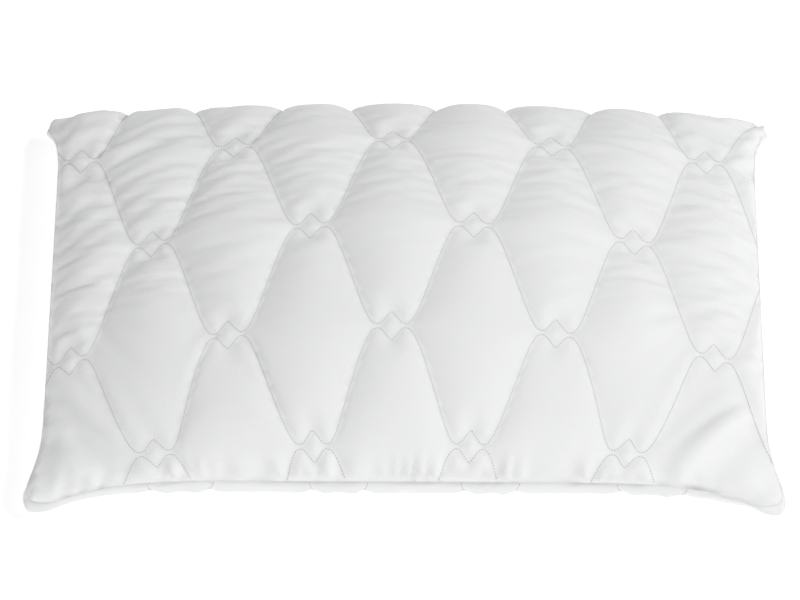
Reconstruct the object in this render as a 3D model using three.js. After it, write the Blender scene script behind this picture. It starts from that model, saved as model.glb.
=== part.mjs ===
// Quilted bed pillow, filled and lying flat. Millimetres, +Z up.
// +X runs along the long side and +Y towards the back edge. The origin is on the floor, under the
// middle of the pillow. Two quilted panels (cover, wadding, lining) meet in a seam all round.
import * as THREE from "three";

// Filled size, and the shape of the seam line that joins the two panels.
const LENGTH = 722; // corner tip to corner tip
const DEPTH = 478;
const SEAM_TUCK_X = 13; // how far the side seams are drawn in from the corner tips
const SEAM_TUCK_Y = 17;
const SEAM_HEIGHT = 49.5; // height of the seam above the floor, away from the corners
const CORNER_HEIGHT = 9.5; // the same at the drooping corner tips
const CORNER_SHARPNESS = 9; // a higher power keeps the droop nearer the tips
const FRONT_GATHER = 0.09; // share by which the cloth bunches up sideways at the front seam
const BACK_GATHER = 0.03;
const TOP_RISE = 70; // from the edge of the top panel up to its crown, along stitch lines
const UNDERSIDE_LIFT = 6; // height of the bottom stitch lines, which puffs hold off the floor

// Quilting: rows of stars, each row shifted half a cell from the next.
const CELL_LENGTH = 159; // from one star to the next in the same row
const ROW_STEP = 120.5;
const FRONT_MARGIN = 32; // from the front seam to the first row, along the cloth
const LEAST_BACK_MARGIN = 25;
const TOP_PATTERN_SHIFT = -13.5; // the second row has a star this far from the middle
const BOTTOM_PATTERN_SHIFT = 10;
const STAR_HALF = 16.5; // from the middle of a star to its top or bottom point
const LOBE = 12; // where a line comes closest to its row, to each side of a star
const LOBE_GAP = 4.2; // how close it comes
const SHOULDER = 26; // where it leaves the star and turns into the straight run
const SHOULDER_RISE = 20.5;
const PUFF = 12; // height of the middle of a cell above its stitch lines
const SIDE_FLAT = 8; // no puff this near a side seam
const SIDE_FADE = 40; // puffs grow to full height over this distance

// Layers of a quilted panel, from the outside in.
const FIT_GAP = 0.5;
const FILLING_GAP = 0.6;
const COVER = 0.8;
const WADDING = 0.06 * TOP_RISE; // where it is stitched down
const LINING = 0.5;
const THREAD_RADIUS = 0.5;
const THREAD_CLEARANCE = 0.7;
const THREAD_END = 24; // quilting threads stop this far short of the side seams
const EDGE_FILL = 1; // half the thickness of the filling where it thins out at the seam
const CLOSING_LENGTH = 180; // hand hole in the back seam, sewn shut after filling

const COVER_INSIDE = COVER;
const WADDING_OUTSIDE = COVER_INSIDE + FIT_GAP;
const WADDING_INSIDE = WADDING_OUTSIDE + WADDING;
const LINING_OUTSIDE = WADDING_INSIDE + FIT_GAP;
const LINING_INSIDE = LINING_OUTSIDE + LINING;
const FILLING_OUTSIDE = LINING_INSIDE + FILLING_GAP;
const RIM = FILLING_OUTSIDE + EDGE_FILL; // half the thickness of the pillow at its seam

const SEAM_X = LENGTH / 2 - SEAM_TUCK_X;
const SEAM_Y = DEPTH / 2 - SEAM_TUCK_Y;
const HALF_CELL = CELL_LENGTH / 2;

// Quarter section from the crown (share 0) to the seam (share 1): level = (1 - share^n)^(1/m),
// with the length of cloth used up to each point.
function makeSection(span, rise, n, m) {
  const steps = 300;
  const points = [{ cloth: 0, share: 0, level: 1 }];
  for (let i = 1; i <= steps; i++) {
    const share = Math.sin(((i / steps) * Math.PI) / 2);
    const level = Math.max(0, 1 - share ** n) ** (1 / m);
    const last = points[i - 1];
    const run = (share - last.share) * span;
    const drop = (last.level - level) * rise;
    points.push({ cloth: last.cloth + Math.hypot(run, drop), share, level });
  }
  return points;
}

function atCloth(section, cloth) {
  const next = section.findIndex((point) => point.cloth >= cloth);
  if (next === -1) return section[section.length - 1];
  if (next === 0) return section[0];
  const a = section[next - 1];
  const b = section[next];
  const t = (cloth - a.cloth) / (b.cloth - a.cloth);
  return {
    share: a.share + (b.share - a.share) * t,
    level: a.level + (b.level - a.level) * t,
  };
}

function makePanel(name, side, rise, exponents, shift) {
  const lengthwise = makeSection(SEAM_X, rise, ...exponents.lengthwise);
  const crosswise = makeSection(SEAM_Y, rise, ...exponents.crosswise);
  return {
    name,
    side,
    rise,
    shift,
    lengthwise,
    crosswise,
    halfU: lengthwise[lengthwise.length - 1].cloth,
    halfV: crosswise[crosswise.length - 1].cloth,
  };
}

const top = makePanel(
  "top",
  1,
  TOP_RISE,
  { lengthwise: [1.9, 1], crosswise: [2.1, 1.65] },
  TOP_PATTERN_SHIFT,
);
const bottom = makePanel(
  "bottom",
  -1,
  SEAM_HEIGHT - RIM - UNDERSIDE_LIFT,
  { lengthwise: [4, 2.5], crosswise: [4, 2.5] },
  BOTTOM_PATTERN_SHIFT,
);

// Bends the flat seam outline into shape: drawn-in edges, gathered cloth and drooping corners.
function shape(panel, x, y, height, depth) {
  const alongX = Math.abs(x) / SEAM_X;
  const alongY = Math.abs(y) / SEAM_Y;
  const gather = (y < 0 ? FRONT_GATHER : BACK_GATHER) * alongY ** 4 * (1 - alongX ** 4);
  const reachX = SEAM_TUCK_X * alongX ** 5 * alongY ** CORNER_SHARPNESS;
  const reachY = SEAM_TUCK_Y * alongY * alongX ** CORNER_SHARPNESS;
  const droop = (SEAM_HEIGHT - CORNER_HEIGHT) * (alongX * alongY) ** CORNER_SHARPNESS;
  const z = SEAM_HEIGHT - droop + panel.side * height;
  return new THREE.Vector3(
    x * (1 - gather) + Math.sign(x) * reachX,
    y + Math.sign(y) * reachY,
    panel.side > 0 ? z : Math.max(z, depth),
  );
}

// A point of a panel. u and v are measured along the cloth from its middle, depth is measured
// inwards from the face of the cover, and relief lifts the point into a puff.
function pointOn(panel, u, v, depth, relief = 0) {
  const acrossX = atCloth(panel.lengthwise, Math.abs(u));
  const acrossY = atCloth(panel.crosswise, Math.abs(v));
  const inset = depth - relief;
  const x = Math.sign(u) * (acrossX.share * SEAM_X - inset * acrossX.share ** 8);
  const y = Math.sign(v) * (acrossY.share * SEAM_Y - inset * acrossY.share ** 8);
  const height = RIM + panel.rise * acrossX.level * acrossY.level - inset;
  return shape(panel, x, y, height, depth);
}

// Points round the seam as shares of its half length and half depth, anticlockwise from the front
// left corner and closer together towards the corners. A turn of 1 is one side.
function seamLoop() {
  const steps = 24;
  const corners = [
    [-1, -1],
    [1, -1],
    [1, 1],
    [-1, 1],
  ];
  return corners.flatMap(([x, y], side) => {
    const [nextX, nextY] = corners[(side + 1) % 4];
    return Array.from({ length: steps }, (_, i) => {
      const t = (1 - Math.cos((Math.PI * i) / steps)) / 2;
      return { turn: side + t, x: x + (nextX - x) * t, y: y + (nextY - y) * t };
    });
  });
}

// A point of the seam loop, moved inwards by a depth, on the plane where the panels meet.
function pointOnSeam(panel, { x, y }, depth) {
  const moved = (share, span) => share * span - Math.sign(share) * depth * Math.abs(share) ** 8;
  return shape(panel, moved(x, SEAM_X), moved(y, SEAM_Y), FIT_GAP / 2, depth);
}

// ---- Quilting pattern -----------------------------------------------------------------------

function rowV(panel, row) {
  return -panel.halfV + FRONT_MARGIN + (row - 1) * ROW_STEP;
}

function rowCount(panel) {
  const room = 2 * panel.halfV - FRONT_MARGIN - LEAST_BACK_MARGIN;
  return Math.floor(room / ROW_STEP) + 1;
}

// Rise of a stitch line above its lower row of stars, at a distance from the nearest of them.
function lineRise(distance) {
  const course = [
    [0, STAR_HALF],
    [LOBE, LOBE_GAP],
    [SHOULDER, SHOULDER_RISE],
    [HALF_CELL - SHOULDER, ROW_STEP - SHOULDER_RISE],
    [HALF_CELL - LOBE, ROW_STEP - LOBE_GAP],
    [HALF_CELL, ROW_STEP - STAR_HALF],
  ];
  const next = course.findIndex(([reach], i) => i > 0 && reach >= distance - 1e-9);
  const [a, riseA] = course[next - 1];
  const [b, riseB] = course[next];
  return riseA + ((riseB - riseA) * (distance - a)) / (b - a);
}

// Line 0 runs from below the first row of stars up to it, line 1 from the first row to the second.
function lineV(panel, line, u) {
  const star = panel.shift + (line % 2 === 1 ? HALF_CELL : 0);
  const cells = (u - star) / CELL_LENGTH;
  const distance = Math.abs(cells - Math.round(cells)) * CELL_LENGTH;
  return rowV(panel, line) + lineRise(Math.min(distance, HALF_CELL));
}

const EDGE_STRIP = 10; // the outermost strip of the grid, where lines that leave the panel stop
const SIDE_COLUMNS = [0, 12, 28]; // extra columns near each side, where the seam droops
const LEAST_SPACING = 6;
const EVEN_ROWS = 26; // rows even out over this distance from a side seam, to follow its droop

function lineInside(panel, line, u) {
  const limit = panel.halfV - EDGE_STRIP;
  return Math.min(limit, Math.max(-limit, lineV(panel, line, u)));
}

// Positions along the cloth where the stitch lines turn.
function turningColumns(panel) {
  const marks = [0, LOBE, SHOULDER, HALF_CELL - SHOULDER, HALF_CELL - LOBE];
  const halfCells = Math.ceil(panel.halfU / HALF_CELL) + 1;
  const nearSides = SIDE_COLUMNS.flatMap((inset) => [inset - panel.halfU, panel.halfU - inset]);
  const columns = [...nearSides];
  for (let i = -halfCells; i <= halfCells; i++)
    for (const mark of marks) {
      const u = panel.shift + i * HALF_CELL + mark;
      const inside = Math.abs(u) < panel.halfU;
      const free = nearSides.every((taken) => Math.abs(taken - u) > LEAST_SPACING);
      if (inside && free) columns.push(u);
    }
  return columns.sort((a, b) => a - b);
}

function sideFade(panel, u) {
  const inside = panel.halfU - Math.abs(u) - SIDE_FLAT;
  return Math.sqrt(Math.max(0, Math.min(1, inside / SIDE_FADE)));
}

// Where the grid divides each strip: closer together beside the front and back seams.
function stripShares(strip, lastStrip) {
  if (strip === 0 || strip === lastStrip) return [0, 0.5];
  if (strip === 1) return [0, 0.14, 0.38, 0.68];
  if (strip === lastStrip - 1) return [0, 0.3, 0.56, 0.8];
  return [0, 1 / 3, 2 / 3];
}

function gridNode(panel, u, v, relief) {
  const shareX = Math.sign(u) * atCloth(panel.lengthwise, Math.abs(u)).share;
  const shareY = Math.sign(v) * atCloth(panel.crosswise, Math.abs(v)).share;
  const flatter = 1 - (shareX * shareY) ** 2; // puffs die out towards the corner ears
  return { u, v, relief: relief * flatter, shareX, shareY };
}

// One column of the quilted grid: the edge, every stitch line, and points between them that puff up.
function quiltColumn(panel, u) {
  const lines = rowCount(panel) + 1;
  const stops = [-panel.halfV];
  for (let line = 0; line < lines; line++) stops.push(lineInside(panel, line, u));
  stops.push(panel.halfV);
  const tallest = 2 * (ROW_STEP - STAR_HALF);
  const column = [];
  const spreadOf = (v) => Math.asin(Math.max(-1, Math.min(1, v / panel.halfV)));
  const lastStrip = stops.length - 2;
  for (let strip = 0; strip <= lastStrip; strip++) {
    const from = stops[strip];
    const tall = stops[strip + 1] - from;
    for (const share of stripShares(strip, lastStrip)) {
      const spread = spreadOf(from) * (1 - share) + spreadOf(from + tall) * share;
      const v = panel.halfV * Math.sin(spread);
      const size = (tall / tallest) ** 0.6 * sideFade(panel, u);
      const swell = Math.max(0, Math.sin((Math.PI * (v - from)) / tall)) ** 0.8;
      column.push({ v, relief: share === 0 ? 0 : PUFF * size * swell });
    }
  }
  column.push({ v: panel.halfV, relief: 0 });
  const beside = Math.max(0, 1 - (panel.halfU - Math.abs(u)) / EVEN_ROWS);
  return column.map(({ v, relief }, row) => {
    const even = panel.halfV * Math.sin(Math.PI * (row / (column.length - 1) - 0.5));
    return gridNode(panel, u, v + (even - v) * beside, relief);
  });
}

function quiltGrid(panel) {
  return turningColumns(panel).map((u) => quiltColumn(panel, u));
}

// A plain grid without puffs, closer towards the edges, where the panel curves most.
function plainGrid(panel) {
  const columns = 24;
  const rows = 14;
  const spread = (i, count) => Math.sin(Math.PI * (i / count - 0.5));
  const grid = [];
  for (let i = 0; i <= columns; i++) {
    const column = [];
    for (let j = 0; j <= rows; j++) {
      const u = spread(i, columns) * panel.halfU;
      const v = spread(j, rows) * panel.halfV;
      column.push(gridNode(panel, u, v, 0));
    }
    grid.push(column);
  }
  return grid;
}

// ---- Building closed solids -----------------------------------------------------------------

class Shell {
  constructor() {
    this.points = [];
    this.faces = [];
  }

  add(point) {
    return this.points.push(point) - 1;
  }

  face(a, b, c, flip) {
    this.faces.push(flip ? [a, c, b] : [a, b, c]);
  }

  // Adds a grid as a surface and returns its boundary as a loop.
  addGrid(grid, place, flip) {
    const index = grid.map((column) => column.map((node) => this.add(place(node))));
    for (let i = 0; i + 1 < grid.length; i++)
      for (let j = 0; j + 1 < grid[i].length; j++) {
        const [a, b, c, d] = [index[i][j], index[i + 1][j], index[i + 1][j + 1], index[i][j + 1]];
        const span = (p, q) => Math.hypot(p.u - q.u, p.v - q.v);
        const rising = span(grid[i][j], grid[i + 1][j + 1]);
        const falling = span(grid[i + 1][j], grid[i][j + 1]);
        if (rising <= falling) {
          this.face(a, b, c, flip);
          this.face(a, c, d, flip);
        } else {
          this.face(a, b, d, flip);
          this.face(b, c, d, flip);
        }
      }
    return boundary(grid).map(({ i, j, turn }) => ({ index: index[i][j], turn }));
  }

  addSeam(place) {
    return seamLoop().map((stop) => ({ index: this.add(place(stop)), turn: stop.turn }));
  }

  // Joins two loops that go round the same way, whatever their numbers of points.
  bridge(inner, outer, flip) {
    let i = 0;
    let j = 0;
    const turnOf = (loop, k) => (k < loop.length ? loop[k].turn : 4);
    const indexOf = (loop, k) => loop[k % loop.length].index;
    while (i < inner.length || j < outer.length) {
      const innerNext = i < inner.length ? turnOf(inner, i + 1) : Infinity;
      const outerNext = j < outer.length ? turnOf(outer, j + 1) : Infinity;
      if (innerNext < outerNext) {
        this.face(indexOf(inner, i), indexOf(outer, j), indexOf(inner, i + 1), flip);
        i++;
      } else {
        this.face(indexOf(inner, i), indexOf(outer, j), indexOf(outer, j + 1), flip);
        j++;
      }
    }
  }

  geometry() {
    const positions = this.faces.flat().flatMap((k) => this.points[k].toArray());
    const made = new THREE.BufferGeometry();
    made.setAttribute("position", new THREE.Float32BufferAttribute(positions, 3));
    made.computeVertexNormals();
    return made;
  }
}

// The edge of a grid, anticlockwise, with a turn that counts from 0 to 4 through the four sides.
function boundary(grid) {
  const lastI = grid.length - 1;
  const lastJ = grid[0].length - 1;
  const alongU = (i, j) => (grid[i][j].shareX + 1) / 2;
  const alongV = (i, j) => (grid[i][j].shareY + 1) / 2;
  const loop = [];
  for (let i = 0; i < lastI; i++) loop.push({ i, j: 0, turn: alongU(i, 0) });
  for (let j = 0; j < lastJ; j++) loop.push({ i: lastI, j, turn: 1 + alongV(lastI, j) });
  for (let i = lastI; i > 0; i--) loop.push({ i, j: lastJ, turn: 3 - alongU(i, lastJ) });
  for (let j = lastJ; j > 0; j--) loop.push({ i: 0, j, turn: 4 - alongV(0, j) });
  return loop;
}

// A bowl-shaped layer between two depths. Its rim stands on the plane of the seam.
function layer(panel, outside, inside) {
  const shell = new Shell();
  const mirrored = panel.side < 0;
  const surface = ({ depth }) => (node) => pointOn(panel, node.u, node.v, depth, node.relief);
  const foot = ({ depth }) => (stop) => pointOnSeam(panel, stop, depth);
  const outerEdge = shell.addGrid(outside.grid, surface(outside), mirrored);
  const outerFoot = shell.addSeam(foot(outside));
  const innerEdge = shell.addGrid(inside.grid, surface(inside), !mirrored);
  const innerFoot = shell.addSeam(foot(inside));
  shell.bridge(outerEdge, outerFoot, mirrored);
  shell.bridge(outerFoot, innerFoot, mirrored);
  shell.bridge(innerFoot, innerEdge, mirrored);
  return shell.geometry();
}

// The loose filling: everything inside both linings.
function fillingGeometry() {
  const shell = new Shell();
  const surface = (panel) => (node) => pointOn(panel, node.u, node.v, FILLING_OUTSIDE);
  const upper = shell.addGrid(plainGrid(top), surface(top), false);
  const lower = shell.addGrid(plainGrid(bottom), surface(bottom), true);
  shell.bridge(upper, lower, false);
  return shell.geometry();
}

// A thread of triangular section along a path of points, closed at both ends.
function threadGeometry(path) {
  const shell = new Shell();
  const rings = path.map((point, i) => {
    const before = path[Math.max(0, i - 1)];
    const after = path[Math.min(path.length - 1, i + 1)];
    const ahead = after.clone().sub(before).normalize();
    const sideways = new THREE.Vector3(0, 0, 1).cross(ahead).normalize();
    const upwards = ahead.clone().cross(sideways);
    return [0, 1, 2].map((corner) => {
      const angle = Math.PI / 2 + (corner * 2 * Math.PI) / 3;
      return shell.add(
        point
          .clone()
          .addScaledVector(sideways, THREAD_RADIUS * Math.cos(angle))
          .addScaledVector(upwards, THREAD_RADIUS * Math.sin(angle)),
      );
    });
  });
  for (let i = 0; i + 1 < rings.length; i++)
    for (let corner = 0; corner < 3; corner++) {
      const other = (corner + 1) % 3;
      const [a, b] = [rings[i][corner], rings[i][other]];
      const [c, d] = [rings[i + 1][other], rings[i + 1][corner]];
      shell.face(a, b, c, false);
      shell.face(a, c, d, false);
    }
  shell.face(...rings[0], true);
  shell.face(...rings[rings.length - 1], false);
  return shell.geometry();
}

// ---- Materials and pieces -------------------------------------------------------------------

const cloth = (color, roughness) => new THREE.MeshStandardMaterial({ color, roughness, metalness: 0 });
const coverCloth = cloth(0xf4f4f5, 0.85);
const waddingFibre = cloth(0xf0f0ee, 1);
const liningCloth = cloth(0xe9e9e6, 0.9);
const fillingFibre = cloth(0xfafaf8, 1);
const sewingThread = cloth(0xe4e4e6, 0.6);

const group = new THREE.Group();
group.name = "bed_pillow";

function add(name, geometry, material) {
  const mesh = new THREE.Mesh(geometry, material);
  mesh.name = name;
  group.add(mesh);
}

function addPanelLayers(panel) {
  const quilted = quiltGrid(panel);
  const plain = plainGrid(panel);
  const coverOutside = { grid: quilted, depth: 0 };
  const coverInside = { grid: quilted, depth: COVER_INSIDE };
  const waddingOutside = { grid: quilted, depth: WADDING_OUTSIDE };
  const waddingInside = { grid: plain, depth: WADDING_INSIDE };
  const liningOutside = { grid: plain, depth: LINING_OUTSIDE };
  const liningInside = { grid: plain, depth: LINING_INSIDE };
  add(`${panel.name}_cover_fabric`, layer(panel, coverOutside, coverInside), coverCloth);
  add(`${panel.name}_quilt_wadding`, layer(panel, waddingOutside, waddingInside), waddingFibre);
  add(`${panel.name}_lining`, layer(panel, liningOutside, liningInside), liningCloth);
}

// Splits a stitch line into the lengths that lie within the panel.
function sewnLengths(panel, line) {
  const columns = turningColumns(panel).filter((u) => Math.abs(u) < panel.halfU - THREAD_END);
  const lengths = [];
  let open = null;
  for (const u of columns) {
    if (Math.abs(lineV(panel, line, u)) > panel.halfV) {
      open = null;
      continue;
    }
    if (!open) {
      open = [];
      lengths.push(open);
    }
    open.push(u);
  }
  return lengths.filter((length) => length.length > 1);
}

function threadPath(panel, line, columns) {
  const depth = -THREAD_CLEARANCE - THREAD_RADIUS;
  return columns.map((u) => pointOn(panel, u, lineInside(panel, line, u), depth));
}

function addQuiltingThreads(panel) {
  let number = 1;
  for (let line = 0; line <= rowCount(panel); line++)
    for (const length of sewnLengths(panel, line)) {
      const path = threadPath(panel, line, length);
      add(`${panel.name}_quilt_thread_${number}`, threadGeometry(path), sewingThread);
      number++;
    }
}

// Splits the seam just outside the covers into the run that closes the hand hole and the rest.
function addSeamThreads() {
  const half = CLOSING_LENGTH / 2 / SEAM_X;
  const gap = FIT_GAP / 2 / SEAM_X;
  const back = (x) => ({ x, y: 1 });
  const onBack = (stop) => stop.turn >= 2 && stop.turn <= 3;
  const loop = seamLoop();
  const beyondLeft = loop.filter((stop) => onBack(stop) && stop.x < -half - gap);
  const beyondRight = loop.filter((stop) => onBack(stop) && stop.x > half + gap);
  const otherSides = loop.filter((stop) => !onBack(stop));
  const left = otherSides.filter((stop) => stop.turn > 3);
  const right = otherSides.filter((stop) => stop.turn < 2);
  const edge = [back(-half - gap), ...beyondLeft, ...left, ...right, ...beyondRight, back(half + gap)];
  const closing = [back(half - gap), back(0), back(gap - half)];
  const path = (stops) =>
    stops.map((stop) => pointOnSeam(top, stop, -THREAD_CLEARANCE - THREAD_RADIUS));
  add("edge_seam_thread", threadGeometry(path(edge)), sewingThread);
  add("closing_seam_thread", threadGeometry(path(closing)), sewingThread);
}

addPanelLayers(top);
addPanelLayers(bottom);
add("fibre_filling", fillingGeometry(), fillingFibre);
addQuiltingThreads(top);
addQuiltingThreads(bottom);
addSeamThreads();

export default group;
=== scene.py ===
"""Quilted bed pillow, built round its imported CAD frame. Metres, +Z up, +X along the long side."""

import math

import bpy
import numpy as np
from mathutils import Euler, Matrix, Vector
from mathutils.geometry import delaunay_2d_cdt
from mathutils.kdtree import KDTree


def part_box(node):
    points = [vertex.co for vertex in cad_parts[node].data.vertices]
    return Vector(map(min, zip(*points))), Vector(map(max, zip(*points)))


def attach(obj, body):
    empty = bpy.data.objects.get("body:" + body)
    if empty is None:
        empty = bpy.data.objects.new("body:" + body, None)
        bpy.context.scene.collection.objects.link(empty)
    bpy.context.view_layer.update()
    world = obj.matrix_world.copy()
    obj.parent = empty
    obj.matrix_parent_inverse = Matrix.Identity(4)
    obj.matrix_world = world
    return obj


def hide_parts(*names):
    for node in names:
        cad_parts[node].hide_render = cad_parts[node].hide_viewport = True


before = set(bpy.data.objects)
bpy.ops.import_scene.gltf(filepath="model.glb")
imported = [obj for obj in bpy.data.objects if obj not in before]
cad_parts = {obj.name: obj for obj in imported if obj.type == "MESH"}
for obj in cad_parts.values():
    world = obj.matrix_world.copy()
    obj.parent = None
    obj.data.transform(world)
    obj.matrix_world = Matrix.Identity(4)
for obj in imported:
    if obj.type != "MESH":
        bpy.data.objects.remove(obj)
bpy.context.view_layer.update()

# ---- Shape of the filled pillow, close to the CAD solids, in millimetres -----------------------

MM = 0.001
low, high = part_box("top_cover_fabric")
LENGTH = (high[0] - low[0]) / MM
DEPTH = (high[1] - low[1]) / MM
SEAM_TUCK_X = 13  # how far the edges draw in between the ears
SEAM_TUCK_Y = 17
SEAM_X = LENGTH / 2 - SEAM_TUCK_X
SEAM_Y = DEPTH / 2 - SEAM_TUCK_Y
SEAM_HEIGHT = 49.5
CORNER_HEIGHT = 9.5
CORNER_SHARPNESS = 9  # a higher power keeps the droop closer to the corners
FRONT_GATHER = 0.09  # how much the front edge narrows, as a share of its length
BACK_GATHER = 0.03
RIM = 8.1
TOP_RISE = 70
UNDERSIDE_LIFT = 6
BOTTOM_RISE = SEAM_HEIGHT - RIM - UNDERSIDE_LIFT
# Exponents of the quarter sections: higher ones make them squarer.
TOP_ROUND_X = (1.9, 1)
TOP_ROUND_Y = (2.1, 1.65)
BOTTOM_ROUND = (4, 2.5)
RIM_ROUND = 34  # the edge rounds off over this width of cloth
EAR_ROUND = 24  # radius of the cloth's corners
EAR_PROUD = 13
EAR_SHARPNESS = 11
EAR_RIM_ROUND = 13
EAR_DEEP = 38
LOWEST_CLOTH = 0.3  # the underside stays this far above the floor

# Quilting.
CELL_LENGTH = 159
HALF_CELL = CELL_LENGTH / 2
ROW_STEP = 120.5
FRONT_MARGIN = 32
ROWS = 4
TOP_SHIFT = -13.5  # where the stars of the front row lie along the pillow
BOTTOM_SHIFT = 10
# Rise of a stitch line above its lower row of stars, by distance from the nearest of them.
# The rises at the stars are a little smaller than the CAD's, so that the stars close at their tips.
COURSE_REACH = [0, 5, 9, 12.5, 17, 22, 28, HALF_CELL / 2]
COURSE_RISE = [16.0, 9.8, 4.6, 2.2, 3.2, 9.8, 24, ROW_STEP / 2]
STITCH = 3.0
STITCH_SHARE = 0.72  # how much of its spacing a stitch covers
SHORTEST_LENGTH = 24  # a corner that a line would cut by less than this isn't stitched
THREAD_RADIUS = 0.28
THREAD_PROUD = 0.38  # how far the middle of a stitch stands above the stitched face
THREAD_SUNK = 0.1  # how far its ends dip below that face
SEAM_THREAD_PROUD = 0.2
SEAM_THREAD_SUNK = 0.35
CLOSING_LENGTH = 180

# Net of the cloth.
CLOTH_STEP = 4.6  # size of the simulated triangles
LINE_STEP = 3.6  # spacing of the net's points along a stitch line
EDGE_CLEARANCE = 2  # stitch lines stop this short of the seam
NEAREST_POINTS = 0.62  # the net's points keep this share of a step apart
BUCKET = 8  # size of the squares that points are sorted into

# Gathered cloth: how much longer it was cut than the face it covers.
SLACK_U = 0.01
SLACK_V = {"top": 0.085, "bottom": 0.03}
EDGE_SLACK = 0.6  # extra slack towards the short edges
EAR_SLACK = 0.02
EASE = {"top": 0.08, "bottom": 0.03}
EASE_FADE = 22  # the ease dies out over this much cloth beside the seam
START_PUFF = 5
START_PUFF_WIDTH = 12

# Simulation.
GATHER_FRAMES = 8
CLOTH_FRAMES = 22
PRESSURE = 300
CLOTH_QUALITY = 6
CLOTH_MASS = 0.3
CLOTH_STIFFNESS = 15
CLOTH_SHEAR = 3
CLOTH_BENDING = 1.5
CLOTH_DAMPING = 5
MOST_MOVE = 22  # the simulation moves no point further than this from where it started

# Creases after the simulation.
CALM_MIDDLE_X = 0.55  # how far the smooth cells reach, as shares of the half length and half depth
CALM_MIDDLE_Y = 1.1
CALM_FRONT_X = 0.95
CALM_FRONT_Y = 0.55
SETTLE_PASSES = 7
SETTLE_PULL = 0.6
CREASE_LENGTH = 3.5  # how much longer than wide the creases are left
LEAST_CALM = 0.08
WALL_WIDTH = 4  # how fast the cloth rises beside its stitches
PUCKER_RISE = 3.0
PUCKER_REACH = 18
PUCKER_FADE = 60  # the puckers die out over this much seam beside the corners
# Folds at the front corners: start and end from the corner, width and rise.
LEFT_FOLD = ((56, 4), (12, 66), 8, 7.5)
RIGHT_FOLD = ((-84, 10), (-18, 108), 12, 8.5)

# Layers under the cover: share of the puffs that each face follows, and its depth.
COVER_INSIDE = (0.97, 0.6)
WADDING_OUTSIDE = (0.9, 1.0)
WADDING_INSIDE = (0.4, 1.8)
LINING_OUTSIDE = (0.35, 2.1)
LINING_INSIDE = (0.35, 2.5)
FILLING_INSET = 9
FILLING_DEPTH = 7

# Materials.
WEAVE_PITCH = 0.0009
COVER_DARK = (0.745, 0.75, 0.755)
COVER_LIGHT = (0.80, 0.80, 0.80)
# The quilting thread is a darker grey than the cover: painted shade for the shade that falls in the
# stitched valleys and needle holes.
THREAD_DARK_PAINTED_SHADE = (0.34, 0.34, 0.35)
THREAD_LIGHT_PAINTED_SHADE = (0.5, 0.5, 0.51)
LINING_DARK = (0.74, 0.74, 0.72)
LINING_LIGHT = (0.84, 0.84, 0.82)
FLOOR_DARK = (0.93, 0.93, 0.93)
FLOOR_LIGHT = (0.95, 0.95, 0.95)
FLOOR_GLOW = 0.36
FLOOR_SIZE = 14

# Lights: place in metres, size in metres and power in watts.
KEY_RIGHT = ((2.9, -0.2, 3.3), 1.4, 106)
FILL_FRONT = ((-1.6, -3.4, 1.3), 2.4, 39)
FILL_ABOVE = ((-1.2, 0.4, 3.4), 2.6, 13)
WORLD_LIGHT = 0.425

# Camera.
FOCAL_LENGTH = 220.5
CAMERA_DISTANCE = 4.846
CAMERA_ELEVATION = 53.58
CAMERA_ROLL = 0.287
CAMERA_SHIFT_X = -0.0070
CAMERA_SHIFT_Y = 0.0319


def section(span, rise, n, m):
    """Quarter section from the crown to the seam: cloth used, share of the span, and level."""
    share = np.sin(np.linspace(0, math.pi / 2, 400))
    level = np.maximum(0, 1 - share**n) ** (1 / m)
    run = np.hypot(np.diff(share) * span, np.diff(level) * rise)
    return np.concatenate([[0], np.cumsum(run)]), share, level


class Panel:
    """One quilted face of the pillow, and the lengths of cloth from its middle to its seam."""

    def __init__(self, name, side, rise, exponents_x, exponents_y, shift):
        self.name = name
        self.side = side
        self.rise = rise
        self.shift = shift
        self.lengthwise = section(SEAM_X, rise, *exponents_x)
        self.crosswise = section(SEAM_Y, rise, *exponents_y)
        self.half_u = self.lengthwise[0][-1]
        self.half_v = self.crosswise[0][-1]


TOP = Panel("top", 1, TOP_RISE, TOP_ROUND_X, TOP_ROUND_Y, TOP_SHIFT)
BOTTOM = Panel("bottom", -1, BOTTOM_RISE, BOTTOM_ROUND, BOTTOM_ROUND, BOTTOM_SHIFT)


def round_corner(along_x, along_y):
    """Shares of the half length and half depth, with the square corners of the cloth rounded off."""
    a = np.clip(1 - (1 - along_x) * SEAM_X / EAR_ROUND, 0, 1)
    b = np.clip(1 - (1 - along_y) * SEAM_Y / EAR_ROUND, 0, 1)
    pull_x = a * (1 - np.sqrt(1 - b * b / 2)) * EAR_ROUND
    pull_y = b * (1 - np.sqrt(1 - a * a / 2)) * EAR_ROUND
    return along_x - pull_x / SEAM_X, along_y - pull_y / SEAM_Y


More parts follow.
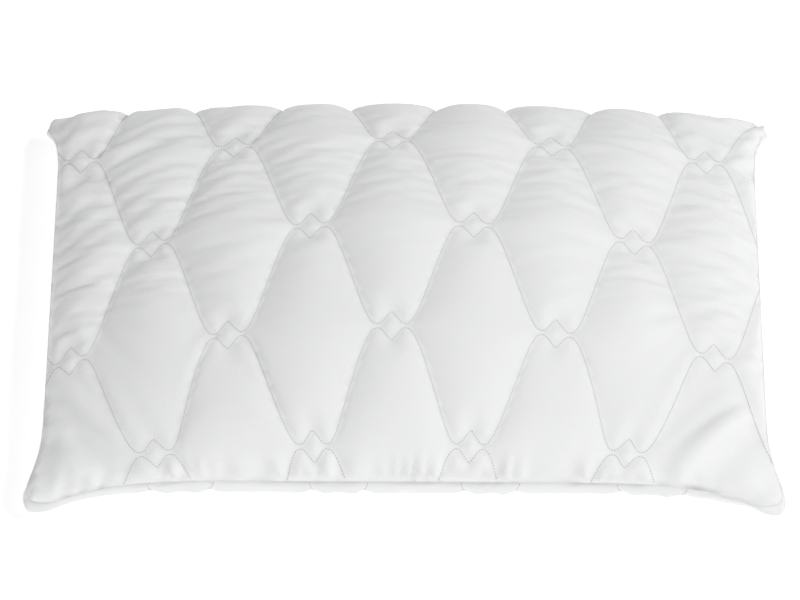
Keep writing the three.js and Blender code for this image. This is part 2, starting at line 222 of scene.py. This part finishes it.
def on_panel(panel, u, v, lift=0.0):
    """Points on the stitched-down face of a panel, in millimetres."""
    u, v = np.asarray(u, float), np.asarray(v, float)
    arc_x, share_x, level_x = panel.lengthwise
    arc_y, share_y, level_y = panel.crosswise
    along_x, along_y = round_corner(
        np.interp(np.abs(u), arc_x, share_x), np.interp(np.abs(v), arc_y, share_y)
    )
    level = np.interp(np.abs(u), arc_x, level_x) * np.interp(np.abs(v), arc_y, level_y)
    from_edge = np.minimum(panel.half_u - np.abs(u), panel.half_v - np.abs(v))
    corner = along_x * along_y
    round_off = np.clip(from_edge / (RIM_ROUND - (RIM_ROUND - EAR_RIM_ROUND) * corner**6), 0, 1)
    rim = RIM * np.sqrt(1 - (1 - round_off) ** 2)
    x = np.sign(u) * (along_x * SEAM_X + lift * along_x**8)
    y = np.sign(v) * (along_y * SEAM_Y + lift * along_y**8)
    gather = np.where(y < 0, FRONT_GATHER, BACK_GATHER) * along_y**4 * (1 - along_x**4)
    ear = EAR_PROUD * np.exp(-(((1 - along_y) * SEAM_Y / EAR_DEEP) ** 2))
    tip = np.sign(x) * SEAM_TUCK_X * along_x**5 * along_y**EAR_SHARPNESS
    x_out = (x + np.sign(x) * ear * along_x**12) * (1 - gather) + tip
    y_out = y + np.sign(y) * SEAM_TUCK_Y * along_y * along_x**CORNER_SHARPNESS
    seam = SEAM_HEIGHT - (SEAM_HEIGHT - CORNER_HEIGHT) * corner**CORNER_SHARPNESS
    z = seam + panel.side * (rim + panel.rise * level + lift)
    return np.stack([x_out, y_out, z], axis=-1)


# ---- Quilting pattern ------------------------------------------------------------------------


def smooth_course():
    """Slopes for a smooth curve through the course points, and its mirror half above them."""
    reach = COURSE_REACH + [HALF_CELL - r for r in reversed(COURSE_REACH[:-1])]
    rise = COURSE_RISE + [ROW_STEP - r for r in reversed(COURSE_RISE[:-1])]
    reach, rise = np.array(reach), np.array(rise)
    steps = np.diff(rise) / np.diff(reach)
    slopes = np.zeros(len(reach))
    same_way = steps[:-1] * steps[1:] > 0
    mean = 2 * steps[:-1] * steps[1:] / np.where(same_way, steps[:-1] + steps[1:], 1)
    slopes[1:-1] = np.where(same_way, mean, 0)
    slopes[0] = slopes[-1] = steps[0] * 0.9
    return reach, rise, slopes


COURSE = smooth_course()


def course_rise(distance):
    """Height of a stitch line above its lower row of stars, by distance from the nearest star."""
    reach, rise, slopes = COURSE
    i = np.clip(np.searchsorted(reach, distance) - 1, 0, len(reach) - 2)
    width = reach[i + 1] - reach[i]
    t = (distance - reach[i]) / width
    return (
        rise[i] * (1 + 2 * t) * (1 - t) ** 2
        + rise[i + 1] * t * t * (3 - 2 * t)
        + width * (slopes[i] * t * (1 - t) ** 2 - slopes[i + 1] * t * t * (1 - t))
    )


def line_v(panel, line, u):
    """Where stitch line number line crosses u. Line 0 comes up to the front row of stars."""
    star = panel.shift + (HALF_CELL if line % 2 else 0)
    cells = (u - star) / CELL_LENGTH
    distance = np.abs(cells - np.round(cells)) * CELL_LENGTH
    row = -panel.half_v + FRONT_MARGIN + (line - 1) * ROW_STEP
    return row + course_rise(distance)


def stitch_lines(panel, step):
    """Every unbroken length of quilting thread, as points along the cloth about a step apart."""
    lengths = []
    for line in range(ROWS + 1):
        u = np.arange(-panel.half_u, panel.half_u, 0.25)
        v = line_v(panel, line, u)
        inside = np.abs(v) < panel.half_v
        breaks = np.flatnonzero(np.diff(inside.astype(int))) + 1
        for part in np.split(np.arange(len(u)), breaks):
            nearest = np.abs(u[part]).min()
            if not inside[part[0]] or nearest > panel.half_u - SHORTEST_LENGTH:
                continue
            along = np.concatenate([[0], np.cumsum(np.hypot(np.diff(u[part]), np.diff(v[part])))])
            stops = np.linspace(0, along[-1], max(3, int(along[-1] / step)) + 1)
            lengths.append((np.interp(stops, along, u[part]), np.interp(stops, along, v[part])))
    return lengths


# ---- Cloth -----------------------------------------------------------------------------------


def seam_outline(panel, step):
    """Points round the edge of a panel, evenly spaced and the same for both panels."""
    count_u = round(2 * SEAM_X / step)
    count_v = round(2 * SEAM_Y / step)
    share_u = np.linspace(-1, 1, count_u + 1)
    share_v = np.linspace(-1, 1, count_v + 1)
    u = np.sign(share_u) * np.interp(np.abs(share_u), panel.lengthwise[1], panel.lengthwise[0])
    v = np.sign(share_v) * np.interp(np.abs(share_v), panel.crosswise[1], panel.crosswise[0])
    front = np.stack([u[:-1], -np.full(count_u, panel.half_v)], 1)
    right = np.stack([np.full(count_v, panel.half_u), v[:-1]], 1)
    return np.concatenate([front, right, -front, -right])


def cloth_net(panel):
    """A triangle net over a flat panel, with edges along its seam and its stitch lines."""
    outline = seam_outline(panel, CLOTH_STEP)
    points = list(map(tuple, outline))
    edges = [(i, (i + 1) % len(points)) for i in range(len(points))]
    for u, v in stitch_lines(panel, LINE_STEP):
        keep = np.abs(u) < panel.half_u - EDGE_CLEARANCE
        keep &= np.abs(v) < panel.half_v - EDGE_CLEARANCE
        start = len(points)
        points += list(zip(u[keep], v[keep]))
        edges += [(i, i + 1) for i in range(start, len(points) - 1)]
    fixed = len(points)
    taken = {}
    for x, y in points:
        taken.setdefault((int(x // BUCKET), int(y // BUCKET)), []).append((x, y))
    reach = NEAREST_POINTS * CLOTH_STEP
    rows = int(2 * panel.half_v / (CLOTH_STEP * 0.866))
    for row in range(1, rows):
        y = -panel.half_v + row * 2 * panel.half_v / rows
        x = -panel.half_u + CLOTH_STEP * (0.5 if row % 2 else 1.0)
        while x < panel.half_u - 0.3 * CLOTH_STEP:
            i, j = int(x // BUCKET), int(y // BUCKET)
            near = (
                p for a in (-1, 0, 1) for b in (-1, 0, 1) for p in taken.get((i + a, j + b), ())
            )
            if all((x - px) ** 2 + (y - py) ** 2 > reach * reach for px, py in near):
                points.append((x, y))
            x += CLOTH_STEP
    made = delaunay_2d_cdt([Vector(p) for p in points], edges, [], 0, 1e-5)
    uv = np.array([tuple(p) for p in made[0]])
    faces = np.array(made[2])
    origins = made[3]
    pinned = np.array([any(k < fixed for k in o) for o in origins])
    return uv, faces, pinned


def calmness(share_x, share_y):
    """From 0 to 1: how smooth the cells lie. The front row and the front middle are smoothest."""
    middle = np.exp(-((share_x / CALM_MIDDLE_X) ** 4) - ((share_y + 1) / CALM_MIDDLE_Y) ** 4)
    front = np.exp(-((share_x / CALM_FRONT_X) ** 8) - ((share_y + 1) / CALM_FRONT_Y) ** 6)
    return np.maximum(middle, front)


def loose_cloth(panel, uv, swell):
    """Where the cloth lies before it is gathered onto the pillow: longer than the face below it."""
    points = on_panel(panel, uv[:, 0], uv[:, 1], swell)
    x, y = points[:, 0], points[:, 1]
    share_x, share_y = x / SEAM_X, y / SEAM_Y
    calm = calmness(share_x, share_y)
    loose = SLACK_V[panel.name] * (1 - calm) * (1 + EDGE_SLACK * share_x**2)
    spread = points.copy()
    ears = EAR_SLACK * np.abs(share_x) ** 8 * np.abs(share_y) ** 6
    spread[:, 0] = x * (1 + SLACK_U + ears)
    spread[:, 1] = y * (1 + loose)
    return spread


def mesh_object(name, points, faces):
    """A mesh piece from points in millimetres."""
    mesh = bpy.data.meshes.new(name)
    places = [tuple(p) for p in np.asarray(points) * MM]
    mesh.from_pydata(places, [], [tuple(map(int, f)) for f in faces])
    piece = bpy.data.objects.new(name, mesh)
    bpy.context.scene.collection.objects.link(piece)
    return piece


def nearest_stitch(uv, pinned):
    """Distance along the cloth from each point to the nearest stitch or seam."""
    tree = KDTree(int(pinned.sum()))
    for i, p in enumerate(uv[pinned]):
        tree.insert((p[0], p[1], 0), i)
    tree.balance()
    return np.array([tree.find((p[0], p[1], 0))[2] for p in uv])


def settled(moved, panel, uv, faces, pinned, away):
    """Evens out small crumples: into long crosswise creases, and away in the calm front cells."""
    edges = np.unique(np.sort(faces[:, [0, 1, 1, 2, 2, 0]].reshape(-1, 2), axis=1), axis=0)
    a, b = edges[:, 0], edges[:, 1]
    run = np.abs(uv[a] - uv[b])
    flow = (run[:, 0] ** 2 + 0.02) / (run[:, 0] ** 2 + (CREASE_LENGTH * run[:, 1]) ** 2 + 0.02)
    middle = (uv[a] + uv[b]) / 2
    calm = calmness(middle[:, 0] / panel.half_u, middle[:, 1] / panel.half_v)
    flow = flow + (1 - flow) * np.maximum(calm, LEAST_CALM)
    calm = calmness(uv[:, 0] / panel.half_u, uv[:, 1] / panel.half_v)
    settle = np.where(pinned, 0, SETTLE_PULL * (0.35 + 0.65 * calm))[:, None]
    flow = np.where(pinned[a] | pinned[b], 0, flow)
    total = np.bincount(a, flow, len(uv)) + np.bincount(b, flow, len(uv)) + 1e-9
    wall = 1 - np.exp(-away / WALL_WIDTH)
    moved = moved / np.maximum(wall, 0.1)[:, None]
    for _ in range(SETTLE_PASSES):
        sums = [
            np.bincount(a, flow * moved[b, i], len(uv)) + np.bincount(b, flow * moved[a, i], len(uv))
            for i in range(3)
        ]
        around = np.stack(sums, 1) / total[:, None]
        moved = moved + settle * (around - moved)
    return moved * wall[:, None]


def front_puckers(panel, uv):
    """Short uneven ripples where the cloth is gathered along the front seam."""
    u, from_front = uv[:, 0], uv[:, 1] + panel.half_v
    wander = 3 * np.sin(u / 17) + 2 * np.sin(u / 41)
    strength = 0.25 + 0.75 * np.sin(u / 27 + 1) ** 2
    ripple = np.sin(u / 3.3 + wander) * strength
    fade = np.exp(-((from_front / PUCKER_REACH) ** 2)) * (1 - np.exp(-from_front / 3))
    inland = np.clip((panel.half_u - np.abs(u)) / PUCKER_FADE, 0, 1)
    return PUCKER_RISE * ripple * fade * inland


def corner_fold(uv, corner, start, end, width, rise):
    """A soft fold from start to end, both measured from a corner, with a hollow on its right."""
    start, end = np.add(corner, start), np.add(corner, end)
    length = np.linalg.norm(end - start)
    along = (end - start) / length
    beyond = uv - start
    share = np.clip(beyond @ along / length, 0, 1)
    off = (along[1] * beyond[:, 0] - along[0] * beyond[:, 1]) / width
    profile = np.exp(-(off**2)) - 0.7 * np.exp(-((off - 1.6) ** 2))
    return rise * profile * np.sin(math.pi * share) ** 0.8


def front_folds(panel, uv):
    """The folds that run in from the two front corners of the top."""
    left = corner_fold(uv, (-panel.half_u, -panel.half_v), *LEFT_FOLD)
    right = corner_fold(uv, (panel.half_u, -panel.half_v), *RIGHT_FOLD)
    return left + right


def vertex_normals(points, faces):
    """Unit normals at the points of a triangle net."""
    a, b, c = (points[faces[:, i]] for i in range(3))
    across = np.cross(b - a, c - a)
    normals = np.zeros_like(points)
    for i in range(3):
        np.add.at(normals, faces[:, i], across)
    return normals / np.maximum(np.linalg.norm(normals, axis=1), 1e-9)[:, None]


def above_floor(panel, points):
    """The bottom panel's points, kept off the floor."""
    if panel.side < 0:
        points[:, 2] = np.maximum(points[:, 2], LOWEST_CLOTH)
    return points


def gathering(piece, gathered_points):
    """Draws a piece in from its loose shape to its gathered one over the first frames."""
    piece.shape_key_add(name="loose")
    gathered = piece.shape_key_add(name="gathered")
    gathered.data.foreach_set("co", (gathered_points * MM).ravel())
    for step, value in ((1, 0), (1 + GATHER_FRAMES, 1)):
        gathered.value = value
        gathered.keyframe_insert("value", frame=step)


def blown_out(piece, panel, uv, pinned):
    """A piece's points after the cloth simulation, in millimetres."""
    sewn = piece.vertex_groups.new(name="sewn")
    sewn.add([int(i) for i in np.flatnonzero(pinned)], 1.0, "REPLACE")
    from_seam = np.minimum(panel.half_u - np.abs(uv[:, 0]), panel.half_v - np.abs(uv[:, 1]))
    eased = piece.vertex_groups.new(name="eased")
    for i, share in enumerate(np.clip(from_seam / EASE_FADE, 0, 1)):
        eased.add([i], float(share), "REPLACE")
    settings = piece.modifiers.new("cloth", "CLOTH").settings
    settings.vertex_group_mass = "sewn"
    settings.pin_stiffness = 1.0
    settings.vertex_group_shrink = "eased"
    settings.shrink_min = -EASE[panel.name] / 4
    settings.shrink_max = -EASE[panel.name]
    settings.effector_weights.gravity = 0
    settings.use_pressure = True
    settings.uniform_pressure_force = PRESSURE
    settings.quality = CLOTH_QUALITY
    settings.mass = CLOTH_MASS
    settings.tension_stiffness = settings.compression_stiffness = CLOTH_STIFFNESS
    settings.shear_stiffness = CLOTH_SHEAR
    settings.bending_stiffness = CLOTH_BENDING
    settings.tension_damping = settings.compression_damping = CLOTH_DAMPING
    settings.shear_damping = CLOTH_DAMPING
    settings.air_damping = 1
    scene = bpy.context.scene
    for step in range(1, CLOTH_FRAMES + 1):
        scene.frame_set(step)
    seen = piece.evaluated_get(bpy.context.evaluated_depsgraph_get())
    points = np.empty(len(uv) * 3)
    seen.data.vertices.foreach_get("co", points)
    return points.reshape(-1, 3) / MM


def discard(piece):
    """Removes a simulated piece, with its mesh and its animation."""
    mesh = piece.data
    action = mesh.shape_keys.animation_data.action
    bpy.data.objects.remove(piece)
    bpy.data.meshes.remove(mesh)
    bpy.data.actions.remove(action)
    bpy.context.scene.frame_set(1)


def puffed_cloth(panel):
    """One panel's cloth, blown out between its stitches by Blender's Cloth, in millimetres."""
    uv, faces, pinned = cloth_net(panel)
    if panel.side < 0:
        faces = faces[:, ::-1]
    away = nearest_stitch(uv, pinned)
    swell = START_PUFF * (1 - np.exp(-away / START_PUFF_WIDTH))
    start = above_floor(panel, on_panel(panel, uv[:, 0], uv[:, 1], swell))
    piece = mesh_object(panel.name + "_cloth", loose_cloth(panel, uv, swell), faces)
    gathering(piece, start)
    blown = blown_out(piece, panel, uv, pinned)
    discard(piece)
    moved = settled(blown - start, panel, uv, faces, pinned, away)
    far = np.linalg.norm(moved, axis=1)
    points = start + moved * np.minimum(1, MOST_MOVE / np.maximum(far, 1e-6))[:, None]
    if panel.side > 0:
        extra = np.where(pinned, 0, front_puckers(panel, uv) + front_folds(panel, uv))
        points += vertex_normals(points, faces) * extra[:, None]
    return uv, faces, above_floor(panel, points)


# ---- Materials -------------------------------------------------------------------------------


class Nodes:
    """Short calls for building one material's nodes."""

    def __init__(self, name):
        self.material = bpy.data.materials.new(name)
        self.material.use_nodes = True
        self.tree = self.material.node_tree
        self.shader = self.tree.nodes["Principled BSDF"]
        self.place = self.tree.nodes.new("ShaderNodeTexCoord").outputs["Object"]

    def add(self, kind, inputs=(), **settings):
        node = self.tree.nodes.new("ShaderNode" + kind)
        for key, value in settings.items():
            setattr(node, key, value)
        for key, value in dict(inputs).items():
            self.put(node.inputs[key], value)
        return node

    def put(self, socket, value):
        if isinstance(value, bpy.types.NodeSocket):
            self.tree.links.new(value, socket)
        else:
            socket.default_value = value

    def set(self, name, value):
        """Sets or links one socket of the shader."""
        self.put(self.shader.inputs[name], value)

    def noise(self, scale, detail=2, rough=0.5):
        inputs = {
            "Vector": self.place,
            "Scale": scale,
            "Detail": detail,
            "Roughness": rough,
        }
        return self.add("TexNoise", inputs).outputs["Fac"]

    def math(self, operation, a, b=0.0):
        return self.add("Math", {0: a, 1: b}, operation=operation).outputs[0]

    def between(self, value, low, high):
        """A value from 0 to 1 turned into one from low to high."""
        inputs = {"Value": value, "To Min": low, "To Max": high}
        return self.add("MapRange", inputs).outputs["Result"]

    def blend(self, value, dark, light):
        node = self.add("Mix", {"Factor": value}, data_type="RGBA")
        self.put(node.inputs["A"], (*dark, 1))
        self.put(node.inputs["B"], (*light, 1))
        return node.outputs["Result"]

    def bump(self, height, distance, strength=1.0, under=None):
        inputs = {"Height": height, "Distance": distance, "Strength": strength}
        node = self.add("Bump", inputs)
        if under is not None:
            self.put(node.inputs["Normal"], under)
        return node.outputs["Normal"]


def wave(nodes, axis, pitch):
    """Ridges across one axis, pitch metres apart."""
    x, y, z = nodes.add("SeparateXYZ", {"Vector": nodes.place}).outputs
    along = {"X": x, "Y": y, "Z": z}[axis]
    return nodes.math("SINE", nodes.math("MULTIPLY", along, 2 * math.pi / pitch))


def woven(nodes, pitch):
    """Height of a fine plain weave: lengthwise and crosswise yarns passing over each other."""
    warp = wave(nodes, "X", pitch)
    weft = wave(nodes, "Y", pitch)
    return nodes.math("MULTIPLY", warp, weft)


def cover_material():
    """White brushed microfibre: fine weave, faint slubs and soft pile, slightly uneven white."""
    nodes = Nodes("cover_fabric")
    cloud = nodes.noise(9, 3)
    slub = nodes.noise(420, 2)
    weave = woven(nodes, WEAVE_PITCH)
    tone = nodes.math("ADD", nodes.math("MULTIPLY", cloud, 0.7), nodes.math("MULTIPLY", slub, 0.3))
    nodes.set("Base Color", nodes.blend(tone, COVER_DARK, COVER_LIGHT))
    nodes.set("Roughness", nodes.between(slub, 0.78, 0.92))
    fine = nodes.bump(weave, 0.00005, 0.7)
    fuzzy = nodes.bump(slub, 0.00025, 0.6, fine)
    nodes.set("Normal", fuzzy)
    nodes.set("Sheen Weight", 0.25)
    nodes.set("Sheen Roughness", 0.45)
    nodes.set("Specular IOR Level", 0.25)
    return nodes.material


def fibre_material(name, dark, light, scale):
    """Bonded polyester fibre: a loose tangle that catches light unevenly."""
    nodes = Nodes(name)
    tangle = nodes.noise(scale, 6, 0.7)
    nodes.set("Base Color", nodes.blend(tangle, dark, light))
    nodes.set("Roughness", nodes.between(tangle, 0.7, 0.95))
    nodes.set("Normal", nodes.bump(tangle, 0.0008, 0.8))
    nodes.set("Sheen Weight", 0.3)
    return nodes.material


def lining_material():
    """Thin plain-woven lining cloth behind the wadding."""
    nodes = Nodes("lining_fabric")
    cloud = nodes.noise(30, 3)
    nodes.set("Base Color", nodes.blend(cloud, LINING_DARK, LINING_LIGHT))
    nodes.set("Roughness", nodes.between(cloud, 0.75, 0.9))
    nodes.set("Normal", nodes.bump(woven(nodes, 2 * WEAVE_PITCH), 0.0001))
    return nodes.material


def thread_material(name, dark, light):
    """Twisted polyester sewing thread."""
    nodes = Nodes(name)
    twist = nodes.noise(1500, 1)
    nodes.set("Base Color", nodes.blend(twist, dark, light))
    nodes.set("Roughness", nodes.between(twist, 0.4, 0.6))
    nodes.set("Normal", nodes.bump(twist, 0.0001, 0.7))
    nodes.set("Sheen Weight", 0.2)
    return nodes.material


def floor_material():
    """Plain pale paper."""
    nodes = Nodes("floor_paper")
    grain = nodes.noise(60, 3)
    nodes.set("Base Color", nodes.blend(grain, FLOOR_DARK, FLOOR_LIGHT))
    nodes.set("Roughness", nodes.between(grain, 0.85, 0.95))
    nodes.set("Specular IOR Level", 0.1)
    nodes.set("Emission Color", (1, 1, 1, 1))
    nodes.set("Emission Strength", FLOOR_GLOW)
    return nodes.material


# ---- Pieces ----------------------------------------------------------------------------------


def layer_piece(name, side, outer, inner, faces, count_edge):
    """A closed layer of cloth or fibre between an outer and an inner face that share one net."""
    rim = np.arange(count_edge)
    following = np.roll(rim, -1)
    base = len(outer)
    down = np.stack([rim, rim + base, following + base], 1)
    across = np.stack([rim, following + base, following], 1)
    wall = np.concatenate([down, across])
    if side < 0:
        wall = wall[:, ::-1]
    solid_faces = np.concatenate([faces, faces[:, ::-1] + base, wall])
    piece = mesh_object(name, np.concatenate([outer, inner]), solid_faces)
    piece.data.polygons.foreach_set("use_smooth", [True] * len(solid_faces))
    return piece


def stitch_shape(path, radius, sides=6):
    """One stitch: a short length of thread, rounded at both ends, along three points."""
    path = np.asarray(path)
    along = path[-1] - path[0]
    along = along / np.linalg.norm(along)
    across = np.cross(along, (0, 0, 1))
    across = across / np.linalg.norm(across)
    up = np.cross(across, along)
    turn = np.arange(sides) * 2 * math.pi / sides
    ring = np.outer(np.cos(turn), across) + np.outer(np.sin(turn), up)
    stops = np.array([0.0, 0.12, 0.5, 0.88, 1.0])
    widths = np.array([0.45, 1.0, 1.1, 1.0, 0.45]) * radius
    centres = np.stack([np.interp(stops, (0, 0.5, 1), path[:, i]) for i in range(3)], 1)
    points = np.concatenate([c + w * ring for c, w in zip(centres, widths)])
    faces = []
    for i in range(len(stops) - 1):
        for j in range(sides):
            k = (j + 1) % sides
            a, b, c, d = i * sides + j, i * sides + k, (i + 1) * sides + k, (i + 1) * sides + j
            faces.append((a, d, c, b))
    faces.append(tuple(range(sides)))
    faces.append(tuple(range(len(points) - 1, len(points) - 1 - sides, -1)))
    return points, faces


def stitches_piece(name, tops, feet):
    """A row of stitches. tops are points on the cloth half a stitch apart, feet lie just under."""
    points, faces = [], []
    count = 0
    for i in range(1, len(tops) - 1, 2):
        start = tops[i] + (tops[i - 1] - tops[i]) * STITCH_SHARE
        end = tops[i] + (tops[i + 1] - tops[i]) * STITCH_SHARE
        sink = feet[i] - tops[i]
        made, sides = stitch_shape((start + sink, tops[i], end + sink), THREAD_RADIUS)
        points.append(made)
        faces += [tuple(k + count for k in face) for face in sides]
        count += len(made)
    piece = mesh_object(name, np.concatenate(points), faces)
    piece.data.polygons.foreach_set("use_smooth", [True] * len(faces))
    return piece


def dress(piece, material, nodes):
    """What every piece of the pillow gets: a material, a body and its CAD nodes."""
    piece.data.materials.append(material)
    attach(piece, "root")
    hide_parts(*nodes)
    return piece


def add_panel(panel, materials):
    """One quilted panel: its cover, wadding, lining and quilting threads."""
    uv, faces, puffed = puffed_cloth(panel)
    edge = len(seam_outline(panel, CLOTH_STEP))
    face = above_floor(panel, on_panel(panel, uv[:, 0], uv[:, 1]))
    inward = -vertex_normals(face, faces)
    puff = puffed - face
    hollow = (puff * inward).sum(1) > 0

    def level(share, depth):
        """A surface inside the panel: some share of the puffs, and a depth below the face."""
        return face + puff * np.where(hollow, 1, share)[:, None] + inward * depth

    def layer(name, outer, inner, material, node):
        """One padded layer of the panel."""
        name = panel.name + "_" + name
        piece = layer_piece(name, panel.side, outer, inner, faces, edge)
        dress(piece, materials[material], [panel.name + "_" + node])

    inside = level(*COVER_INSIDE)
    layer("cover", puffed, inside, "cover", "cover_fabric")
    outside, inside = level(*WADDING_OUTSIDE), level(*WADDING_INSIDE)
    layer("wadding", outside, inside, "wadding", "quilt_wadding")
    outside, inside = level(*LINING_OUTSIDE), level(*LINING_INSIDE)
    layer("backing", outside, inside, "lining", "lining")
    for number, (u, v) in enumerate(stitch_lines(panel, STITCH / 2), 1):
        tops = on_panel(panel, u, v, THREAD_PROUD)
        feet = on_panel(panel, u, v, -THREAD_SUNK)
        threads = stitches_piece(f"{panel.name}_quilt_stitches_{number}", tops, feet)
        node = f"{panel.name}_quilt_thread_{number}"
        dress(threads, materials["thread"], [node])


def add_filling(materials):
    """The loose fibre inside, a little inside both linings."""
    steps_u, steps_v = 60, 40
    across, deep = np.linspace(-1, 1, steps_u + 1), np.linspace(-1, 1, steps_v + 1)
    share_u, share_v = np.meshgrid(across, deep)
    rings = []
    for panel in (TOP, BOTTOM):
        u = share_u.ravel() * (panel.half_u - FILLING_INSET)
        v = share_v.ravel() * (panel.half_v - FILLING_INSET)
        rings.append(on_panel(panel, u, v, -FILLING_DEPTH))
    count = (steps_u + 1) * (steps_v + 1)
    faces = []
    for j in range(steps_v):
        for i in range(steps_u):
            a = j * (steps_u + 1) + i
            quad = (a, a + 1, a + steps_u + 2, a + steps_u + 1)
            faces.append(quad)
            faces.append(tuple(k + count for k in reversed(quad)))
    front = list(range(steps_u + 1))
    right = [j * (steps_u + 1) + steps_u for j in range(steps_v + 1)]
    back = [steps_v * (steps_u + 1) + i for i in range(steps_u, -1, -1)]
    left = [j * (steps_u + 1) for j in range(steps_v, -1, -1)]
    loop = front + right[1:] + back[1:] + left[1:]
    for a, b in zip(loop, loop[1:]):
        faces.append((b, a, a + count, b + count))
    piece = mesh_object("filling", np.concatenate(rings), faces)
    piece.data.polygons.foreach_set("use_smooth", [True] * len(faces))
    dress(piece, materials["filling"], ["fibre_filling"])


def add_seam(materials):
    """Stitches round the seam that joins the two panels, and the hand-closed length at the back."""
    outline = seam_outline(TOP, STITCH / 2)
    line = on_panel(TOP, outline[:, 0], outline[:, 1])
    out = line * (1, 1, 0)
    out /= np.linalg.norm(out, axis=1)[:, None]
    at_back = (line[:, 1] > 0) & (np.abs(line[:, 0]) < CLOSING_LENGTH / 2)
    around = np.roll(np.arange(len(line)), -int(np.flatnonzero(at_back)[-1]) - 1)
    around = around[: len(line) - int(at_back.sum())]
    closing = np.flatnonzero(at_back)[2:-2]
    for name, order, node in (
        ("edge_seam_stitches", around, "edge_seam_thread"),
        ("closing_seam_stitches", closing, "closing_seam_thread"),
    ):
        tops = line[order] + out[order] * SEAM_THREAD_PROUD
        feet = line[order] - out[order] * SEAM_THREAD_SUNK
        piece = stitches_piece(name, tops, feet)
        dress(piece, materials["seam"], [node])


# ---- Surroundings ----------------------------------------------------------------------------


def add_floor():
    """The sheet of paper that the pillow lies on."""
    bpy.ops.mesh.primitive_plane_add(size=FLOOR_SIZE)
    floor = bpy.context.object
    floor.name = "floor"
    floor.data.materials.append(floor_material())


def add_light(name, place, size, power):
    """A square light aimed at the middle of the pillow's underside."""
    light = bpy.data.lights.new(name, "AREA")
    light.size = size
    light.energy = power
    lamp = bpy.data.objects.new(name, light)
    lamp.location = place
    lamp.rotation_euler = (-Vector(place)).to_track_quat("-Z", "Y").to_euler()
    bpy.context.scene.collection.objects.link(lamp)


def add_lights():
    """Soft lights and a plain bright surround."""
    add_light("key_right", *KEY_RIGHT)
    add_light("fill_front", *FILL_FRONT)
    add_light("fill_above", *FILL_ABOVE)
    world = bpy.data.worlds.new("studio")
    world.use_nodes = True
    background = world.node_tree.nodes["Background"]
    background.inputs["Color"].default_value = (1, 1, 1, 1)
    background.inputs["Strength"].default_value = WORLD_LIGHT
    bpy.context.scene.world = world


def add_camera():
    """The camera, raised above the front edge."""
    camera = bpy.data.cameras.new("camera")
    camera.lens = FOCAL_LENGTH
    camera.sensor_width = 36
    camera.shift_x = CAMERA_SHIFT_X
    camera.shift_y = CAMERA_SHIFT_Y
    camera.clip_end = 100
    holder = bpy.data.objects.new("camera", camera)
    elevation = math.radians(CAMERA_ELEVATION)
    back, up = math.cos(elevation), math.sin(elevation)
    holder.location = (0, -CAMERA_DISTANCE * back, CAMERA_DISTANCE * up)
    tilt = Euler((math.pi / 2 - elevation, 0, 0)).to_matrix()
    roll = Euler((0, 0, math.radians(CAMERA_ROLL))).to_matrix()
    holder.rotation_euler = (tilt @ roll).to_euler()
    bpy.context.scene.collection.objects.link(holder)
    bpy.context.scene.camera = holder


def build():
    """Every piece of the pillow, and its surroundings."""
    materials = {
        "cover": cover_material(),
        "wadding": fibre_material("wadding_fibre", (0.78, 0.78, 0.76), (0.9, 0.9, 0.88), 300),
        "lining": lining_material(),
        "filling": fibre_material("filling_fibre", (0.75, 0.75, 0.73), (0.92, 0.92, 0.9), 140),
        # Quilting thread greyer than the cover: painted shade of the stitched valleys.
        "thread": thread_material("quilting_thread", THREAD_DARK_PAINTED_SHADE, THREAD_LIGHT_PAINTED_SHADE),
        "seam": thread_material("seam_thread", COVER_DARK, COVER_LIGHT),
    }
    for panel in (TOP, BOTTOM):
        add_panel(panel, materials)
    add_filling(materials)
    add_seam(materials)
    add_floor()
    add_lights()
    add_camera()
    bpy.context.scene.view_settings.view_transform = "Standard"


build()
